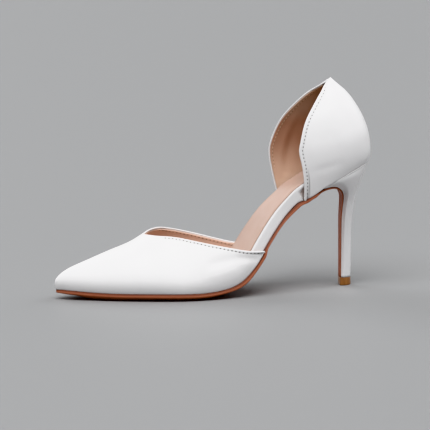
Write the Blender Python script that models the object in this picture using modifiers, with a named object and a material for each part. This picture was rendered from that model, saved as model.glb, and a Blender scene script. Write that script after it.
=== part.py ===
"""A left shoe: a pointed-toe pump in two pieces, vamp and counter, on a stiletto heel.

Every piece is worked out from one last. Lengths are in millimetres behind the toe (behind), towards the
medial side (across, so lateral is negative) and above the floor (height). They become metres in Blender's
axes at the end: the toe points to -X and the lateral side to -Y.
"""
import math

import bpy
import numpy as np

MM = 0.001
LENGTH = 230.0
MIDDLE_ACROSS = -5.8
SIGN = {"lateral": -1.0, "medial": 1.0}

# Walls, layers and the gaps between them.
UPPER_WALL = 1.9
SOCK_THICK = 1.0
PIECE_GAP = 0.3
FEATHER_GAP = 0.45
SEAT_DROP = 0.05
SEAT_CLOSING = 0.2

# How far each layer of the bottom lies inside the feather line.
FEATHER_STEP = 0.3
WAIST_STEP = 1.5
STEP_LENGTH = 6.0
BOARD_INSET = 2.9
BOARD_TUCK = 1.6
TUCK_LENGTH = 7.0
SOCK_INSET = 1.4
SPREAD_START = 185.0
SPREAD_LENGTH = 18.0
BOARD_SPREAD = 1.9
SOCK_SPREAD = 1.2

# Where the pieces begin and end behind the toe.
THROAT = 65.3
VAMP_END = {"lateral": 146.8, "medial": 140.4}
COUNTER_FRONT = {"lateral": 179.0, "medial": 166.5}
HEEL_BACK = 227.9
SOLE_FRONT = 0.1
SOLE_SHANK_END = 186.0
BOARD_SPAN = (7.0, 225.8)
SOCK_SPAN = (9.0, 225.4)
WEDGE_START = 0.03
TIP_HEIGHT = 5.7
TIP_BEVEL = 0.5

# Layers over the sloping arch rise square to it, and those over the heel seat rise straight up.
UPRIGHT_START = 180.0
UPRIGHT_LENGTH = 25.0

# The heel end is rounded over this many half widths, at most this share of its length.
ROUND_LENGTH = 1.2
ROUND_SHARE = 0.75

# How many steps each surface is divided into.
SIDE_STEPS = 9
FRONT_STEPS = 18
REAR_STEPS = 18
BEND_STEPS = 11
LEVEL_STEPS = 18
RIB_STEPS = 8
BREAST_STEPS = 24
HEEL_STEPS = 26
HEEL_BEND_STEPS = 6
TOE_CROWDING = 1.7
SEAT_STEPS = 44
TOE_RIBS = 8
TOE_RIB_STEP = 0.3
RIB_CLEARANCE = 0.5
SHARP_ANGLE = math.radians(40.0)

# Stations of the bottom's ribs behind the toe.
RIB_RUNS = (
    # start, end, spacing
    (27.0, 104.0, 7.0),
    (104.0, 188.0, 3.0),
    (188.0, 220.0, 3.6),
    (220.0, HEEL_BACK, 1.5),
)

# The feather line in plan: half widths to each side of the toe-to-heel line.
OUTLINE = (
    # behind, lateral, medial
    (0.0, 0.0, 0.0),
    (0.6, 2.9, 2.6),
    (3.0, 5.8, 5.2),
    (10.0, 10.6, 9.6),
    (20.0, 16.1, 14.6),
    (30.0, 21.3, 19.0),
    (41.0, 26.6, 23.0),
    (55.0, 32.4, 27.3),
    (70.0, 37.7, 30.4),
    (82.0, 41.2, 31.4),
    (95.0, 43.0, 30.6),
    (107.0, 42.6, 28.2),
    (120.0, 40.6, 25.0),
    (133.0, 37.4, 21.9),
    (147.0, 32.2, 19.4),
    (158.0, 26.9, 18.7),
    (168.0, 22.6, 19.0),
    (179.0, 20.2, 20.2),
)

# The feather line in profile: the height of the sole's upper face along the lateral edge.
PROFILE = (
    # behind, height, sole edge
    (0.0, 7.2, 2.4),
    (10.0, 6.8, 2.5),
    (20.0, 6.2, 2.6),
    (30.0, 5.7, 2.6),
    (42.0, 5.4, 2.6),
    (70.0, 5.3, 2.6),
    (88.0, 5.1, 2.6),
    (100.0, 5.1, 2.6),
    (110.0, 5.7, 2.5),
    (118.0, 6.9, 2.4),
    (125.0, 8.9, 2.3),
    (132.0, 12.8, 2.2),
    (139.0, 20.0, 2.1),
    (147.0, 30.8, 2.0),
    (157.0, 44.4, 2.0),
    (168.0, 57.0, 2.0),
    (179.0, 66.0, 2.0),
    (191.0, 72.4, 2.0),
    (202.0, 78.2, 2.0),
    (213.0, 83.6, 2.0),
    (221.0, 87.0, 2.0),
    (228.0, 89.4, 2.0),
)

# How far ahead of the lateral edge the medial edge reaches the same height along the arch.
ARCH_LEAD = (
    # behind, lead
    (0.0, 0.0),
    (108.0, 0.0),
    (125.0, 1.6),
    (140.0, 4.6),
    (160.0, 5.4),
    (175.0, 3.6),
    (190.0, 0.0),
    (228.0, 0.0),
)

BOARD_THICKNESS = (
    # behind, thickness
    (0.0, 2.4),
    (90.0, 2.6),
    (120.0, 4.6),
    (140.0, 7.4),
    (150.0, 7.8),
    (170.0, 7.8),
    (180.0, 8.6),
    (190.0, 10.0),
    (205.0, 10.0),
    (228.0, 8.0),
)

# How far the outsole's middle drops below its edges before the floor cuts it flat.
TREAD_CROWN = (
    # behind, crown
    (0.0, 0.0),
    (12.0, 1.2),
    (30.0, 3.6),
    (45.0, 4.6),
    (105.0, 4.6),
    (118.0, 3.0),
    (132.0, 1.0),
    (150.0, 0.6),
    (195.0, 0.4),
)
CROWN_POWER = 2.5

# Arched sections of the vamp: the ridge of the last, and how square each side's arch is.
VAMP_SECTIONS = (
    # behind, ridge height, ridge across, lateral square, medial square
    (0.0, 10.8, 0.0, 2.0, 2.0),
    (2.0, 15.2, 0.1, 2.0, 2.0),
    (6.7, 19.2, 0.4, 2.0, 2.0),
    (12.4, 22.2, 0.7, 2.0, 2.0),
    (25.7, 27.2, 1.6, 2.0, 2.0),
    (34.6, 30.5, 2.3, 2.0, 2.0),
    (46.0, 34.5, 3.2, 2.0, 2.0),
    (57.0, 38.5, 4.2, 1.95, 2.05),
    (65.3, 43.0, 5.0, 1.8, 2.1),
    (73.0, 47.4, 5.0, 1.7, 2.2),
    (84.0, 52.4, 5.0, 1.6, 2.2),
    (92.0, 55.2, 4.6, 1.6, 2.2),
    (104.0, 58.8, 4.0, 1.7, 2.2),
    (116.0, 62.2, 3.0, 1.8, 2.1),
    (128.0, 65.5, 1.0, 1.9, 2.0),
    (147.0, 70.5, -3.0, 2.0, 2.0),
)

# The height at which the topline cuts each side of the vamp, from the throat to where it meets the sole.
TOPLINE = (
    # behind, lateral, medial
    (65.3, 43.0, 43.0),
    (68.6, 43.5, 44.6),
    (73.0, 43.8, 45.7),
    (78.0, 43.8, 45.9),
    (84.0, 43.5, 44.9),
    (92.0, 42.3, 42.9),
    (104.0, 39.9, 39.6),
    (116.0, 37.3, 36.2),
    (128.0, 34.7, 32.9),
    (136.0, 33.0, 30.7),
    (140.4, 32.3, 29.6),
    (146.8, 31.8, 28.4),
)

# Levels of the counter from its feather line to its peak: the back point and each front edge.
COUNTER_LEVELS = (
    # back, back height, fullness, lateral front, height, half width, medial front, height, half width
    (227.9, 89.4, 23.4, 179.0, 66.0, 20.2, 166.5, 58.4, 19.0),
    (229.7, 94.0, 23.8, 179.1, 76.0, 20.6, 163.9, 71.0, 20.2),
    (230.0, 100.5, 23.8, 177.8, 89.0, 20.8, 161.2, 86.0, 21.4),
    (229.2, 108.0, 23.2, 175.9, 99.4, 20.4, 160.3, 97.0, 21.8),
    (227.4, 115.5, 22.0, 177.2, 107.0, 19.6, 162.6, 106.0, 21.2),
    (222.9, 126.0, 19.0, 181.2, 120.0, 16.8, 169.2, 119.6, 18.8),
    (215.4, 137.6, 13.6, 188.4, 132.0, 12.0, 179.5, 131.8, 13.2),
    (209.0, 144.0, 9.0, 193.6, 139.4, 8.0, 188.0, 139.6, 8.6),
    (202.8, 149.6, 2.6, 199.0, 148.0, 2.2, 198.0, 148.0, 2.2),
)

# The outsole's outer face where it turns down the front of the heel.
BREAST_PATH = (
    # behind, height, half width, thickness
    (191.0, 70.0, 20.4, 2.0),
    (197.0, 71.5, 19.4, 2.0),
    (201.8, 71.4, 16.4, 1.9),
    (205.6, 69.4, 12.6, 1.7),
    (207.7, 65.6, 9.4, 1.3),
    (207.8, 60.5, 7.4, 1.1),
    (207.0, 52.6, 6.1, 0.9),
    (206.4, 40.0, 5.2, 0.8),
    (205.9, 22.0, 4.6, 0.8),
    (205.4, 6.0, 4.3, 0.8),
)

# Sections of the heel from its seat down: its front follows the outsole's breast strip.
HEEL_SECTIONS = (
    # back, back height, fullness
    (227.5, 89.0, 23.0),
    (226.3, 86.2, 22.0),
    (224.9, 82.6, 20.2),
    (222.9, 78.0, 17.6),
    (220.8, 72.8, 14.8),
    (219.2, 67.8, 12.4),
    (217.6, 61.6, 10.4),
    (216.2, 52.8, 8.4),
    (215.1, 40.0, 6.7),
    (214.3, 22.0, 5.6),
    (213.6, 6.0, 5.0),
)

LEATHER_WHITE = (0.83, 0.82, 0.81, 1.0)
SOCK_PINK = (0.74, 0.52, 0.42, 1.0)
SOLE_TAN = (0.33, 0.12, 0.05, 1.0)
TIP_AMBER = (0.36, 0.19, 0.05, 1.0)
LEATHER_ROUGHNESS = 0.42
SOCK_ROUGHNESS = 0.5
SOLE_ROUGHNESS = 0.45
TIP_ROUGHNESS = 0.4


def remove_scene_objects():
    for item in list(bpy.data.objects):
        bpy.data.objects.remove(item, do_unlink=True)


def steps(count):
    return np.linspace(0.0, 1.0, count + 1)


def ease(share):
    share = np.clip(share, 0.0, 1.0)
    return share * share * (3.0 - 2.0 * share)


def column(table, index):
    return np.array([row[index] for row in table], float)


def spline(keys, values):
    """A natural cubic spline through the given points, held level beyond its ends."""
    count = len(keys)
    widths = np.diff(keys)
    rises = np.diff(values) / widths
    system = np.eye(count)
    turn = np.zeros(count)
    for i in range(1, count - 1):
        system[i, i - 1:i + 2] = widths[i - 1], 2.0 * (widths[i - 1] + widths[i]), widths[i]
        turn[i] = 6.0 * (rises[i] - rises[i - 1])
    bend = np.linalg.solve(system, turn)

    def value(at):
        at = np.clip(at, keys[0], keys[-1])
        i = np.clip(np.searchsorted(keys, at, side="right") - 1, 0, count - 2)
        right = at - keys[i]
        left = keys[i + 1] - at
        curve = (bend[i] * left ** 3 + bend[i + 1] * right ** 3) / (6.0 * widths[i])
        start = (values[i] / widths[i] - bend[i] * widths[i] / 6.0) * left
        end = (values[i + 1] / widths[i] - bend[i + 1] * widths[i] / 6.0) * right
        return curve + start + end

    return value


def table_spline(table, index):
    return spline(column(table, 0), column(table, index))


def bow_spline(table, index):
    """A table's spline that rounds off at the toe as a square root does."""
    curve = spline(np.sqrt(column(table, 0)), column(table, index))
    return lambda behind: curve(np.sqrt(np.maximum(behind, 0.0)))


def eased_table(table, index):
    """A table followed with level starts and ends between its rows, so it never overshoots."""
    keys = column(table, 0)
    values = column(table, index)

    def value(at):
        i = np.clip(np.searchsorted(keys, at, side="right") - 1, 0, len(keys) - 2)
        share = ease((at - keys[i]) / (keys[i + 1] - keys[i]))
        return values[i] + share * (values[i + 1] - values[i])

    return value


def row_splines(table):
    """One spline for each column of a table whose rows are evenly spaced from 0 to 1."""
    keys = steps(len(table) - 1)
    return [spline(keys, column(table, index)) for index in range(len(table[0]))]


profile = table_spline(PROFILE, 1)
sole_edge = eased_table(PROFILE, 2)
arch_lead = eased_table(ARCH_LEAD, 1)
board_thickness = eased_table(BOARD_THICKNESS, 1)
tread_crown = eased_table(TREAD_CROWN, 1)
front_outline = {"lateral": bow_spline(OUTLINE, 1), "medial": bow_spline(OUTLINE, 2)}
ridge_height = bow_spline(VAMP_SECTIONS, 1)
ridge_across = table_spline(VAMP_SECTIONS, 2)
squareness = {"lateral": eased_table(VAMP_SECTIONS, 3), "medial": eased_table(VAMP_SECTIONS, 4)}
topline = {"lateral": table_spline(TOPLINE, 1), "medial": table_spline(TOPLINE, 2)}
counter_levels = row_splines(COUNTER_LEVELS)
breast_path = row_splines(BREAST_PATH)
heel_sections = row_splines(HEEL_SECTIONS)


def side_bend(back, front, fullness, width, count):
    """The plan of one side of a heel section, from its back point round and forward to its front edge."""
    rounding = min(ROUND_LENGTH * fullness, ROUND_SHARE * (back - front))
    turn = back - rounding
    angle = 0.5 * math.pi * steps(count)
    bent_behind = turn + rounding * np.cos(angle)
    bent_across = fullness * np.sin(angle)
    straight = steps(count)[1:]
    straight_behind = turn + (front - turn) * straight
    straight_across = fullness + (width - fullness) * ease(straight)
    behind = np.concatenate([bent_behind, straight_behind])
    return behind, np.concatenate([bent_across, straight_across])


def counter_edges(level, side):
    """The back point, fullness and front edge of the counter at one level."""
    first = 3 if side == "lateral" else 6
    back, back_height, fullness = (float(curve(level)) for curve in counter_levels[:3])
    front, front_height, width = (float(curve(level)) for curve in counter_levels[first:first + 3])
    return back, back_height, fullness, front, front_height, width


def seat_curve(side):
    back, _, fullness, front, _, width = counter_edges(0.0, side)
    behind, across = side_bend(back, front, fullness, width, SEAT_STEPS)
    return behind[::-1], across[::-1]


SEAT = {side: seat_curve(side) for side in SIGN}


def half_width(behind, side):
    """The feather line's half width on one side, from the toe to the back of the heel."""
    at_heel = np.interp(behind, *SEAT[side])
    return np.where(behind > COUNTER_FRONT[side], at_heel, front_outline[side](behind))


def inset_width(behind, side, inset):
    """The half width of an outline drawn inside the feather line."""
    reach = 0.5
    slope = (half_width(behind + reach, side) - half_width(behind - reach, side)) / (2.0 * reach)
    return half_width(behind, side) - inset * np.sqrt(1.0 + slope * slope)


def lift_angle(key):
    """How far a layer leans forward as it rises from one rib."""
    reach = 1.0
    slope = (profile(key + reach) - profile(key - reach)) / (2.0 * reach)
    return math.atan(slope) * (1.0 - ease((key - UPRIGHT_START) / UPRIGHT_LENGTH))


RIB_KEYS = np.linspace(0.0, HEEL_BACK, 400)
MEDIAL_KEYS = RIB_KEYS - arch_lead(RIB_KEYS)


def feather_height(behind, side):
    """The height of the sole's upper face at the feather line."""
    if side == "lateral":
        return profile(behind)
    return profile(np.interp(behind, MEDIAL_KEYS, RIB_KEYS))


def waist(behind, side):
    """1 along the open waist, 0 under the vamp and the counter."""
    into = (behind - VAMP_END[side]) / STEP_LENGTH
    out = (COUNTER_FRONT[side] - behind) / STEP_LENGTH
    return ease(min(into, out))


def rib_sides(key):
    """Where one rib of the bottom meets the two feather lines, which are at one height there."""
    return ("lateral", key), ("medial", key - arch_lead(key))


def rib_point(key, share, insets, lift):
    """A point over one rib; share runs from the lateral to the medial edge of the inset outline."""
    (_, near), (_, far) = rib_sides(key)
    left = -half_width(near, "lateral")
    right = half_width(far, "medial")
    lateral = -inset_width(near, "lateral", insets[0])
    medial = inset_width(far, "medial", insets[1])
    across = lateral + share * (medial - lateral)
    angle = lift_angle(key)
    behind = near + (far - near) * (across - left) / (right - left) - lift * math.sin(angle)
    return behind, across, profile(key) + lift * math.cos(angle)


def rib_keys(front, back):
    """Stations shared by every layer of the bottom, closer together at the toe and along the arch."""
    toe = TOE_RIB_STEP * np.arange(1, TOE_RIBS + 1) ** 2
    shared = np.concatenate([toe] + [np.arange(*run) for run in RIB_RUNS])
    between = shared[(shared > front + RIB_CLEARANCE) & (shared < back - RIB_CLEARANCE)]
    return np.concatenate([[front], between, [back]])


# Shares along a rib, closer together near its two edges.
RIB_SHARES = 0.5 - 0.5 * np.cos(np.pi * steps(RIB_STEPS))


class Surface:
    """Vertices and faces gathered row by row."""

    def __init__(self):
        self.points = []
        self.faces = []

    def add_row(self, points):
        first = len(self.points)
        self.points.extend(tuple(point) for point in points)
        return list(range(first, len(self.points)))

    def bridge(self, first, second):
        """Faces between two rows of equal length, which may share corners."""
        for i in range(len(first) - 1):
            corners = dict.fromkeys([first[i], first[i + 1], second[i + 1], second[i]])
            if len(corners) > 2:
                self.faces.append(list(corners))

    def bridge_loop(self, first, second):
        self.bridge(first + first[:1], second + second[:1])

    def make(self, name, material, home):
        """Turn the millimetres into metres about the middle of the footprint and make the object."""
        placed = (np.array(self.points) - (LENGTH / 2.0, MIDDLE_ACROSS, 0.0)) * MM
        mesh = bpy.data.meshes.new(name)
        mesh.from_pydata(placed.tolist(), [], self.faces)
        mesh.shade_smooth()
        mesh.set_sharp_from_angle(angle=SHARP_ANGLE)
        mesh.materials.append(material)
        made = bpy.data.objects.new(name, mesh)
        home.objects.link(made)
        return made


def add_wall(shell):
    """Give an open surface the upper's wall, on its inner side."""
    wall = shell.modifiers.new("wall", "SOLIDIFY")
    wall.thickness = UPPER_WALL * MM
    wall.offset = -1.0
    wall.use_even_offset = True
    wall.use_rim = True


def vamp_point(behind, side, share):
    """A point on the front of the last; share runs from the feather line to the topline or ridge."""
    edge = SIGN[side] * max(half_width(behind, side) - FEATHER_STEP, 0.0)
    foot = feather_height(behind, side) + FEATHER_GAP
    middle = ridge_across(behind)
    rise = ridge_height(behind) - foot
    power = 2.0 / squareness[side](behind)
    angle = 0.5 * math.pi * share
    if behind > THROAT:
        cut = (topline[side](behind) - foot) / rise
        angle = math.asin(min(cut ** (1.0 / power), 1.0)) * share
    across = middle + (edge - middle) * max(math.cos(angle), 0.0) ** power
    return behind, across, foot + rise * math.sin(angle) ** power


def make_vamp(material, home):
    """Two sides that share the stem at the toe and the ridge as far as the throat."""
    surface = Surface()
    shares = steps(SIDE_STEPS)
    front = THROAT * steps(FRONT_STEPS)[1:] ** TOE_CROWDING
    stem = surface.add_row(vamp_point(0.0, "lateral", share) for share in shares)
    ridge = surface.add_row(vamp_point(behind, "lateral", 1.0) for behind in front)
    for side in SIGN:
        rows = [stem]
        for behind, top in zip(front, ridge):
            rows.append(surface.add_row(vamp_point(behind, side, share) for share in shares[:-1]) + [top])
        for part in steps(REAR_STEPS)[1:]:
            behind = THROAT + (VAMP_END[side] - THROAT) * part
            rows.append(surface.add_row(vamp_point(behind, side, share) for share in shares))
        for toward_toe, toward_heel in zip(rows, rows[1:]):
            if side == "lateral":
                surface.bridge(toward_heel, toward_toe)
            else:
                surface.bridge(toward_toe, toward_heel)
    add_wall(surface.make("vamp", material, home))


def counter_side(level, side):
    """One side of one level of the counter, from the back round to its front edge."""
    back, back_height, fullness, front, front_height, width = counter_edges(level, side)
    behind, across = side_bend(back, front, fullness, width, BEND_STEPS)
    if level == 0.0:
        over_heel = ease((behind - SOLE_SHANK_END) / STEP_LENGTH - 1.0)
        height = feather_height(behind, side) + FEATHER_GAP - SEAT_CLOSING * over_heel
    else:
        height = back_height + (front_height - back_height) * (back - behind) / (back - front)
    return np.stack([behind, SIGN[side] * across, height], axis=-1)


def make_counter(material, home):
    surface = Surface()
    rows = []
    for level in steps(LEVEL_STEPS):
        lateral = counter_side(level, "lateral")
        medial = counter_side(level, "medial")
        rows.append(surface.add_row(np.concatenate([lateral[::-1], medial[1:]])))
    for low, high in zip(rows, rows[1:]):
        surface.bridge(low, high)
    add_wall(surface.make("counter", material, home))


def make_slab(name, stations, top_of, bottom_of, material, home):
    """A closed strip whose upper and lower faces are given for each station."""
    surface = Surface()
    tops = []
    bottoms = []
    for station in stations:
        tops.append(surface.add_row(top_of(station, share) for share in RIB_SHARES))
        bottoms.append(surface.add_row(bottom_of(station, share) for share in RIB_SHARES))
    loops = [top + bottom[::-1] for top, bottom in zip(tops, bottoms)]
    for toward_toe, toward_heel in zip(loops, loops[1:]):
        surface.bridge_loop(toward_heel, toward_toe)
    surface.bridge(tops[0], bottoms[0])
    surface.bridge(bottoms[-1], tops[-1])
    surface.make(name, material, home)


def heel_spread(key):
    """0 where the layers pass the counter's front edges, 1 where they fill its seat."""
    return ease((key - SPREAD_START) / SPREAD_LENGTH)


def board_insets(key):
    """How far each side of the board lies inside the feather line: it tucks in before the counter."""
    insets = []
    for side, behind in rib_sides(key):
        tuck = ease((behind - COUNTER_FRONT[side]) / TUCK_LENGTH + 1.0)
        insets.append(BOARD_INSET + BOARD_TUCK * tuck - BOARD_SPREAD * heel_spread(key))
    return insets


def make_board(material, home):
    def top_of(key, share):
        return rib_point(key, share, board_insets(key), PIECE_GAP + board_thickness(key))

    def bottom_of(key, share):
        return rib_point(key, share, board_insets(key), PIECE_GAP)

    make_slab("insole_board", rib_keys(*BOARD_SPAN), top_of, bottom_of, material, home)


def make_sock(material, home):
    def insets_of(key):
        return [inset + SOCK_INSET - SOCK_SPREAD * heel_spread(key) for inset in board_insets(key)]

    def bottom_of(key, share):
        return rib_point(key, share, insets_of(key), 2.0 * PIECE_GAP + board_thickness(key))

    def top_of(key, share):
        lift = 2.0 * PIECE_GAP + board_thickness(key) + SOCK_THICK
        return rib_point(key, share, insets_of(key), lift)

    make_slab("insole", rib_keys(*SOCK_SPAN), top_of, bottom_of, material, home)


def outsole_insets(key):
    """How far each edge of the outsole is drawn in along the open waist."""
    return [WAIST_STEP * waist(behind, side) for side, behind in rib_sides(key)]


def outsole_bottom(key, share):
    behind, across, height = rib_point(key, share, outsole_insets(key), -sole_edge(key))
    bulge = 1.0 - abs(2.0 * share - 1.0) ** CROWN_POWER
    return behind, across, max(height - tread_crown(key) * bulge, 0.0)


def breast_point(key, share, depth, gap=0.0):
    """A point on the strip down the heel's front; depth 0 is its outer face and 1 its inner face."""
    behind, height, width, thickness = (float(curve(key)) for curve in breast_path)
    reach = 0.01
    ahead = min(key + reach, 1.0)
    astern = max(key - reach, 0.0)
    along = np.array([float(curve(ahead) - curve(astern)) for curve in breast_path[:2]])
    inward = np.array([-along[1], along[0]]) / np.linalg.norm(along)
    place = np.array([behind, height]) + (depth * thickness + gap) * inward
    return place[0], (2.0 * share - 1.0) * width, place[1]


def make_outsole(material, home):
    """The sole from the toe up the shank, then the strip down the front of the heel."""
    shank = [("shank", key) for key in rib_keys(SOLE_FRONT, SOLE_SHANK_END)]
    breast = [("breast", key) for key in steps(BREAST_STEPS)]

    def top_of(station, share):
        part, key = station
        if part == "shank":
            return rib_point(key, share, outsole_insets(key), 0.0)
        return breast_point(key, share, 1.0)

    def bottom_of(station, share):
        part, key = station
        if part == "shank":
            return outsole_bottom(key, share)
        return breast_point(key, share, 0.0)

    make_slab("outsole", shank + breast, top_of, bottom_of, material, home)


def d_section(front, front_height, width, back, back_height, fullness):
    """A D section of the heel: a round back, and a flat front between two corners."""
    behind, across = side_bend(back, front, fullness, width, HEEL_BEND_STEPS)
    height = back_height + (front_height - back_height) * (back - behind) / (back - front)
    return behind, across, height


def add_d_row(surface, behind, across, height):
    """Add a D section and return its lateral and medial rows, which share the back point."""
    lateral = surface.add_row(np.stack([behind, -across, height], axis=-1))
    medial = surface.add_row(np.stack([behind, across, height], axis=-1)[1:])
    return lateral, lateral[:1] + medial


def join_d_rows(surface, rows):
    """Close a stack of D sections given from the top down."""
    for (high_left, high_right), (low_left, low_right) in zip(rows, rows[1:]):
        surface.bridge(high_left, low_left)
        surface.bridge(low_right, high_right)
        surface.bridge([high_left[-1], high_right[-1]], [low_left[-1], low_right[-1]])
    top_left, top_right = rows[0]
    low_left, low_right = rows[-1]
    surface.bridge(top_right, top_left)
    surface.bridge(low_left, low_right)


def make_heel(material, home):
    surface = Surface()
    rows = []
    for key in steps(HEEL_STEPS):
        front_key = WEDGE_START + (1.0 - WEDGE_START) * key
        front, width, front_height = breast_point(front_key, 1.0, 1.0, gap=PIECE_GAP)
        back, back_height, fullness = (float(curve(key)) for curve in heel_sections)
        behind, across, height = d_section(front, front_height, width, back, back_height, fullness)
        if key == 0.0:
            height = profile(behind) - SEAT_DROP
        rows.append(add_d_row(surface, behind, across, height))
    join_d_rows(surface, rows)
    surface.make("heel", material, home)


def make_top_piece(material, home):
    surface = Surface()
    front, _, width, _ = BREAST_PATH[-1]
    back, _, fullness = HEEL_SECTIONS[-1]
    rows = []
    for height, spread in ((TIP_HEIGHT, 0.0), (TIP_BEVEL, 0.0), (0.0, -TIP_BEVEL)):
        section = d_section(front - spread, height, width + spread, back + spread, height, fullness + spread)
        rows.append(add_d_row(surface, *section))
    join_d_rows(surface, rows)
    surface.make("top_piece", material, home)


def make_material(name, colour, roughness):
    made = bpy.data.materials.new(name)
    made.use_nodes = True
    shader = made.node_tree.nodes["Principled BSDF"]
    shader.inputs["Base Color"].default_value = colour
    shader.inputs["Roughness"].default_value = roughness
    shader.inputs["Metallic"].default_value = 0.0
    return made


def main():
    remove_scene_objects()
    home = bpy.data.collections.new("two_piece_stiletto_pump")
    bpy.context.scene.collection.children.link(home)
    make_vamp(make_material("vamp leather", LEATHER_WHITE, LEATHER_ROUGHNESS), home)
    make_counter(make_material("counter leather", LEATHER_WHITE, LEATHER_ROUGHNESS), home)
    make_sock(make_material("sock leather", SOCK_PINK, SOCK_ROUGHNESS), home)
    make_board(make_material("board wrap leather", LEATHER_WHITE, LEATHER_ROUGHNESS), home)
    make_outsole(make_material("sole leather", SOLE_TAN, SOLE_ROUGHNESS), home)
    make_heel(make_material("heel wrap leather", LEATHER_WHITE, LEATHER_ROUGHNESS), home)
    make_top_piece(make_material("tip", TIP_AMBER, TIP_ROUGHNESS), home)


main()
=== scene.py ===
"""The looks of a left pump in two pieces on a stiletto heel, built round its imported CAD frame.

Each shown piece follows its CAD node and is worked out on the same last as the part: millimetres behind the
toe (behind), towards the medial side (across) and above the floor (height), turned into the frame's metres
at the end. Folded edges, turned-in feet, stitches, linings, creases and finishes are added here.
"""
import math

import bpy
import numpy as np
from mathutils import Matrix, Vector
from mathutils.bvhtree import BVHTree
from mathutils.kdtree import KDTree

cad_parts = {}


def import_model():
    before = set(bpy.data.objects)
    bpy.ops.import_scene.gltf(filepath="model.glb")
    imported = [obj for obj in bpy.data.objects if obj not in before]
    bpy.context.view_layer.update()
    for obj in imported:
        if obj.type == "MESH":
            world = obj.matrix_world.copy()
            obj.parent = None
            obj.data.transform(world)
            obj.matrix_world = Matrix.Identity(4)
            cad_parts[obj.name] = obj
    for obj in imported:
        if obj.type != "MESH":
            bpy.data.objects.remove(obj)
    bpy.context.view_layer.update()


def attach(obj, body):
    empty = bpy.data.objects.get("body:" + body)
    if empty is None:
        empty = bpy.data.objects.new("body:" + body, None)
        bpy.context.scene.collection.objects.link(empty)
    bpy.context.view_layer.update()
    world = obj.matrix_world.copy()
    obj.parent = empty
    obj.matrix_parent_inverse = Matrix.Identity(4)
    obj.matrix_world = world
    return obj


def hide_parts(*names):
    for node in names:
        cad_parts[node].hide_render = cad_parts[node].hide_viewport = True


MM = 0.001
LENGTH = 230.0
MIDDLE_ACROSS = -5.8
SIGN = {"lateral": -1.0, "medial": 1.0}

# The layers of the bottom and the gaps between them.
SOCK_THICK = 1.0
PIECE_GAP = 0.3
FEATHER_GAP = 0.45
SEAT_DROP = 0.05
SEAT_CLOSING = 0.2
FEATHER_STEP = 0.3
WAIST_STEP = 1.5
STEP_LENGTH = 6.0
WAIST_LEAD = 14.0
BOARD_INSET = 2.9
BOARD_TUCK = 1.6
TUCK_LENGTH = 7.0
SOCK_INSET = 1.4
SPREAD_START = 185.0
SPREAD_LENGTH = 18.0
SOCK_SPREAD = 2.0

# Where the pieces begin and end behind the toe.
THROAT = 65.3
VAMP_END = {"lateral": 146.8, "medial": 140.4}
COUNTER_FRONT = {"lateral": 179.0, "medial": 166.5}
HEEL_BACK = 227.9
SOLE_SHANK_END = 186.0
BOARD_SPAN = (7.0, 225.8)

# Where the layers stop leaning with the arch, how a heel section rounds, and the heel's wedge and tip.
UPRIGHT_START = 180.0
UPRIGHT_LENGTH = 25.0
ROUND_LENGTH = 1.2
ROUND_SHARE = 0.75
WEDGE_START = 0.03
TIP_HEIGHT = 5.7
TIP_BEVEL = 0.5

# How finely the seat and the feather line are sampled.
SEAT_STEPS = 44
RIB_COUNT = 400

# The feather line in plan: half widths to each side of the toe-to-heel line.
OUTLINE = (
    # behind, lateral, medial
    (0.0, 0.0, 0.0),
    (0.6, 2.9, 2.6),
    (3.0, 5.8, 5.2),
    (10.0, 10.6, 9.6),
    (20.0, 16.1, 14.6),
    (30.0, 21.3, 19.0),
    (41.0, 26.6, 23.0),
    (55.0, 32.4, 27.3),
    (70.0, 37.7, 30.4),
    (82.0, 41.2, 31.4),
    (95.0, 43.0, 30.6),
    (107.0, 42.6, 28.2),
    (120.0, 40.6, 25.0),
    (133.0, 37.4, 21.9),
    (147.0, 32.2, 19.4),
    (158.0, 26.9, 18.7),
    (168.0, 22.6, 19.0),
    (179.0, 20.2, 20.2),
)

# The feather line in profile: the height of the sole's upper face along the lateral edge.
PROFILE = (
    # behind, height, sole edge
    (0.0, 7.2, 2.4),
    (10.0, 6.8, 2.5),
    (20.0, 6.2, 2.6),
    (30.0, 5.7, 2.6),
    (42.0, 5.4, 2.6),
    (70.0, 5.3, 2.6),
    (88.0, 5.1, 2.6),
    (100.0, 5.1, 2.6),
    (110.0, 5.7, 2.5),
    (118.0, 6.9, 2.4),
    (125.0, 8.9, 2.3),
    (132.0, 12.8, 2.2),
    (139.0, 20.0, 2.1),
    (147.0, 30.8, 2.0),
    (157.0, 44.4, 2.0),
    (168.0, 57.0, 2.0),
    (179.0, 66.0, 2.0),
    (191.0, 72.4, 2.0),
    (202.0, 78.2, 2.0),
    (213.0, 83.6, 2.0),
    (221.0, 87.0, 2.0),
    (228.0, 89.4, 2.0),
)

# How far ahead of the lateral edge the medial edge reaches the same height along the arch.
ARCH_LEAD = (
    # behind, lead
    (0.0, 0.0),
    (108.0, 0.0),
    (125.0, 1.6),
    (140.0, 4.6),
    (160.0, 5.4),
    (175.0, 3.6),
    (190.0, 0.0),
    (228.0, 0.0),
)

BOARD_THICKNESS = (
    # behind, thickness
    (0.0, 2.4),
    (90.0, 2.6),
    (120.0, 4.6),
    (140.0, 7.4),
    (150.0, 7.8),
    (170.0, 7.8),
    (180.0, 8.6),
    (190.0, 10.0),
    (205.0, 10.0),
    (228.0, 8.0),
)

# How far the outsole's middle drops below its edges before the floor cuts it flat.
TREAD_CROWN = (
    # behind, crown
    (0.0, 0.0),
    (12.0, 1.2),
    (30.0, 3.6),
    (45.0, 4.6),
    (105.0, 4.6),
    (118.0, 3.0),
    (132.0, 1.0),
    (150.0, 0.6),
    (195.0, 0.4),
)
CROWN_POWER = 2.5

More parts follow.
